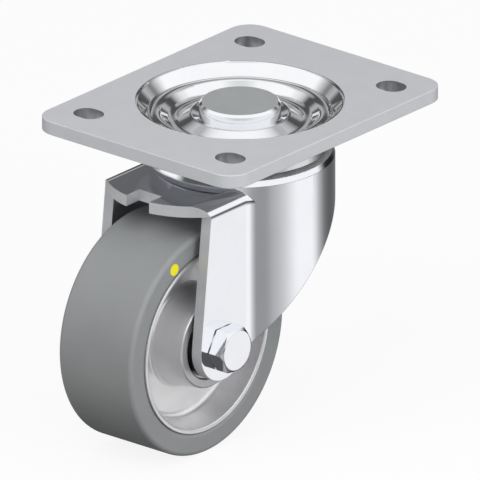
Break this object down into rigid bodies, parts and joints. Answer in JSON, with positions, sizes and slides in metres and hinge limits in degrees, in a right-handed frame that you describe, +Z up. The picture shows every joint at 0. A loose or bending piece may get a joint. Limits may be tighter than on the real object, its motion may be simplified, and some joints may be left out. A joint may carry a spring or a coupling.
{
  "type": "swivel caster",
  "caption": "Swivel caster with a rectangular bolt-on plate, a ball-bearing head, a pressed steel fork and a rubber-tyred wheel.",
  "frame": {"origin": "centre of the bolt pattern on the swivel axis, in the plane of the plate's upper face", "axes": "+Z up out of the plate, +Y the direction of travel away from the wheel, +X along the axle towards the bolt head"},
  "size_m": [0.11, 0.165, 0.14],
  "materials": {
    "zinc_plate": "satin zinc plating",
    "zinc_bright": "bright zinc plating",
    "zinc_bolt": "bright zinc plating",
    "pin_steel": "satin forged steel",
    "ball_steel": "polished hardened steel",
    "cast_aluminium": "fine cast",
    "tyre_rubber": "matt grey elastic rubber",
    "yellow_paint": "satin paint",
    "cage_plastic": "moulded nylon",
    "seal_rubber": "matt black",
    "insert_plastic": "nylon"
  },
  "bodies": {
    "mount": {"top_plate": "zinc_plate", "king_pin": "pin_steel", "dust_ring": "zinc_bright", "lower_race": "zinc_bright"},
    "swivel": {"fork": "zinc_bright", "axle_bolt": "zinc_bolt", "axle_nut": "zinc_bolt", "nut_insert": "insert_plastic", "axle_sleeve": "zinc_bright", "inner_spacer": "zinc_bright", "inner_ring_left": "ball_steel", "end_collar_left": "zinc_bright", "inner_ring_right": "ball_steel", "end_collar_right": "zinc_bright"},
    "wheel": {"rim": "cast_aluminium", "tyre": "tyre_rubber", "paint_mark": "yellow_paint", "outer_ring_left": "ball_steel", "outer_seal_left": "seal_rubber", "inner_seal_left": "seal_rubber", "outer_ring_right": "ball_steel", "outer_seal_right": "seal_rubber", "inner_seal_right": "seal_rubber"},
    "upper_ball_ring": {"upper_balls": "ball_steel"},
    "lower_ball_ring": {"lower_balls": "ball_steel"},
    "bearing_ring_left": {"bearing_balls_left": "ball_steel", "bearing_cage_left": "cage_plastic"},
    "bearing_ring_right": {"bearing_balls_right": "ball_steel", "bearing_cage_right": "cage_plastic"}
  },
  "joints": [
    {"name": "swivel_turn", "type": "hinge", "parent": "mount", "child": "swivel", "pos_m": [0, 0, 0], "axis": [0, 0, 1], "continuous": true},
    {"name": "wheel_spin", "type": "hinge", "parent": "swivel", "child": "wheel", "pos_m": [0, -0.045, -0.09], "axis": [1, 0, 0], "continuous": true},
    {"name": "upper_balls_orbit", "type": "hinge", "parent": "mount", "child": "upper_ball_ring", "pos_m": [0, 0, 0], "axis": [0, 0, 1], "continuous": true},
    {"name": "lower_balls_orbit", "type": "hinge", "parent": "mount", "child": "lower_ball_ring", "pos_m": [0, 0, 0], "axis": [0, 0, 1], "continuous": true},
    {"name": "left_balls_orbit", "type": "hinge", "parent": "swivel", "child": "bearing_ring_left", "pos_m": [0, -0.045, -0.09], "axis": [1, 0, 0], "continuous": true},
    {"name": "right_balls_orbit", "type": "hinge", "parent": "swivel", "child": "bearing_ring_right", "pos_m": [0, -0.045, -0.09], "axis": [1, 0, 0], "continuous": true}
  ],
  "couplings": [
    {"joint": "upper_balls_orbit", "follows": "swivel_turn", "ratio": 0.5},
    {"joint": "lower_balls_orbit", "follows": "swivel_turn", "ratio": 0.5},
    {"joint": "left_balls_orbit", "follows": "wheel_spin", "ratio": 0.6013},
    {"joint": "right_balls_orbit", "follows": "wheel_spin", "ratio": 0.6013}
  ]
}
